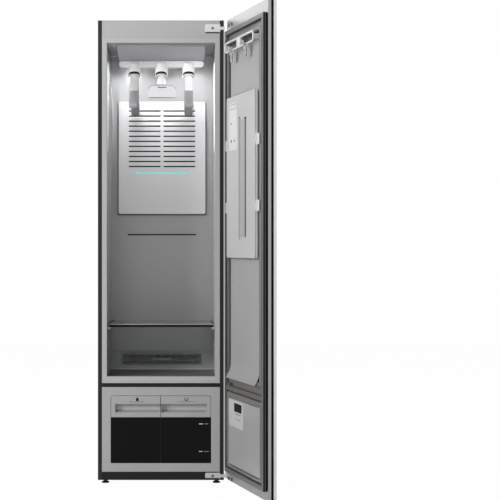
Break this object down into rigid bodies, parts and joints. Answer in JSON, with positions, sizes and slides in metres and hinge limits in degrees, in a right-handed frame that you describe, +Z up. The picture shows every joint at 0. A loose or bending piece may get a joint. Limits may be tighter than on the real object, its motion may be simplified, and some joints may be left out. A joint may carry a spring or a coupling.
{
  "type": "drying cabinet",
  "caption": "Tall garment drying cabinet with a hinged door, air hangers, a glass shelf, water tanks, and a trouser press on the door.",
  "frame": {"origin": "centre of the base tray underside", "axes": "+Z up, -Y out of the front, +X to the right seen from the front, where the door is hinged"},
  "size_m": [0.7175, 1.1052, 1.96],
  "materials": {
    "casing": "satin dark grey paint",
    "front_grey": "satin light grey",
    "lining": "satin grey coating",
    "white_plastic": "satin white",
    "off_white": "satin off-white",
    "door_white": "gloss white",
    "door_lining": "satin warm grey",
    "gasket": "matt black",
    "bright_steel": "plated",
    "zinc_sheet": "zinc-coated",
    "copper": "bare copper",
    "tank_smoke": "gloss smoky black",
    "shelf_glass": "grey tinted",
    "light": "lit cyan",
    "foot_rubber": "matt black",
    "black_plastic": "matt black",
    "black_paint": "black enamel",
    "board_case": "matt green"
  },
  "bodies": {
    "cabinet": {"side_panel_left": "casing", "side_panel_right": "casing", "top_cover": "casing", "cross_rail": "casing", "plinth": "casing", "base_tray": "casing", "header_panel": "front_grey", "front_bezel": "front_grey", "lower_fascia": "front_grey", "liner_floor": "lining", "liner_wrap": "lining", "intake_housing": "lining", "hanger_bar": "white_plastic", "hanger_socket_left": "white_plastic", "hanger_socket_centre": "white_plastic", "hanger_socket_right": "white_plastic", "ceiling_panel": "off_white", "vent_cover": "off_white", "shelf_bracket_left": "off_white", "shelf_bracket_right": "off_white", "hinge_top": "bright_steel", "hinge_bottom": "bright_steel", "rear_cover": "zinc_sheet", "tank_bay": "zinc_sheet", "rear_duct": "zinc_sheet", "steam_generator": "zinc_sheet", "evaporator": "zinc_sheet", "condenser": "copper", "light_bar": "light", "fan_housing": "black_plastic", "drain_pump": "black_plastic", "compressor": "black_paint", "control_box": "board_case"},
    "door": {"door_panel": "door_white", "door_frame": "front_grey", "door_liner": "door_lining", "door_gasket": "gasket", "door_strap_top": "bright_steel", "door_strap_bottom": "bright_steel", "press_plate": "off_white", "trouser_hanger": "white_plastic"},
    "press_board": {"press_board": "off_white"},
    "trouser_clip_left": {"trouser_clip_left": "bright_steel"},
    "trouser_clip_right": {"trouser_clip_right": "bright_steel"},
    "tank_left": {"tank_left": "tank_smoke", "tank_lid_left": "front_grey"},
    "tank_right": {"tank_right": "tank_smoke", "tank_lid_right": "front_grey"},
    "shelf": {"shelf_glass": "shelf_glass", "shelf_strip": "bright_steel"},
    "air_hanger_left": {"air_hanger_left": "white_plastic"},
    "air_hanger_centre": {"air_hanger_centre": "white_plastic"},
    "air_hanger_right": {"air_hanger_right": "white_plastic"},
    "filter": {"filter_cassette": "lining"},
    "scent_drawer": {"scent_drawer": "off_white"},
    "fan_wheel": {"fan_wheel": "off_white"},
    "foot_front_left": {"foot_front_left": "foot_rubber"},
    "foot_front_right": {"foot_front_right": "foot_rubber"},
    "foot_rear_left": {"foot_rear_left": "foot_rubber"},
    "foot_rear_right": {"foot_rear_right": "foot_rubber"}
  },
  "joints": [
    {"name": "door_hinge", "type": "hinge", "parent": "cabinet", "child": "door", "pos_m": [0.278, -0.299, 0.97], "axis": [0, 0, 1], "range_deg": [-105, 15]},
    {"name": "press_board_hinge", "type": "hinge", "parent": "door", "child": "press_board", "pos_m": [0.3774, -0.762, 1.27], "axis": [0, 0, 1], "range_deg": [0, 100]},
    {"name": "clip_left_pivot", "type": "hinge", "parent": "door", "child": "trouser_clip_left", "pos_m": [0.33857, -0.66686, 1.774], "axis": [-0.2588, 0.9659, 0], "range_deg": [0, 22], "stiffness_Nm_per_rad": 0.05, "springref_deg": -11.46},
    {"name": "clip_right_pivot", "type": "hinge", "parent": "door", "child": "trouser_clip_right", "pos_m": [0.29043, -0.48719, 1.774], "axis": [-0.2588, 0.9659, 0], "range_deg": [0, 22], "stiffness_Nm_per_rad": 0.05, "springref_deg": -11.46},
    {"name": "tank_left_slide", "type": "slide", "parent": "cabinet", "child": "tank_left", "axis": [0, -1, 0], "range_m": [0, 0.24]},
    {"name": "tank_right_slide", "type": "slide", "parent": "cabinet", "child": "tank_right", "axis": [0, -1, 0], "range_m": [0, 0.24]},
    {"name": "shelf_slide", "type": "slide", "parent": "cabinet", "child": "shelf", "axis": [0, -1, 0], "range_m": [0, 0.26]},
    {"name": "air_hanger_left_slide", "type": "slide", "parent": "cabinet", "child": "air_hanger_left", "axis": [0, -1, 0], "range_m": [0, 0.12]},
    {"name": "air_hanger_centre_slide", "type": "slide", "parent": "cabinet", "child": "air_hanger_centre", "axis": [0, -1, 0], "range_m": [0, 0.12]},
    {"name": "air_hanger_right_slide", "type": "slide", "parent": "cabinet", "child": "air_hanger_right", "axis": [0, -1, 0], "range_m": [0, 0.12]},
    {"name": "filter_slide", "type": "slide", "parent": "cabinet", "child": "filter", "axis": [0, -0.6339, 0.7734], "range_m": [0, 0.09]},
    {"name": "scent_drawer_slide", "type": "slide", "parent": "cabinet", "child": "scent_drawer", "axis": [0, -1, 0], "range_m": [0, 0.045]},
    {"name": "fan_spin", "type": "hinge", "parent": "cabinet", "child": "fan_wheel", "pos_m": [0.01, 0.2, 0.196], "axis": [0, 1, 0], "continuous": true},
    {"name": "foot_front_left_turn", "type": "hinge", "parent": "cabinet", "child": "foot_front_left", "pos_m": [-0.236, -0.246, 0], "axis": [0, 0, 1], "continuous": true},
    {"name": "foot_front_right_turn", "type": "hinge", "parent": "cabinet", "child": "foot_front_right", "pos_m": [0.236, -0.246, 0], "axis": [0, 0, 1], "continuous": true},
    {"name": "foot_rear_left_turn", "type": "hinge", "parent": "cabinet", "child": "foot_rear_left", "pos_m": [-0.236, 0.246, 0], "axis": [0, 0, 1], "continuous": true},
    {"name": "foot_rear_right_turn", "type": "hinge", "parent": "cabinet", "child": "foot_rear_right", "pos_m": [0.236, 0.246, 0], "axis": [0, 0, 1], "continuous": true}
  ]
}
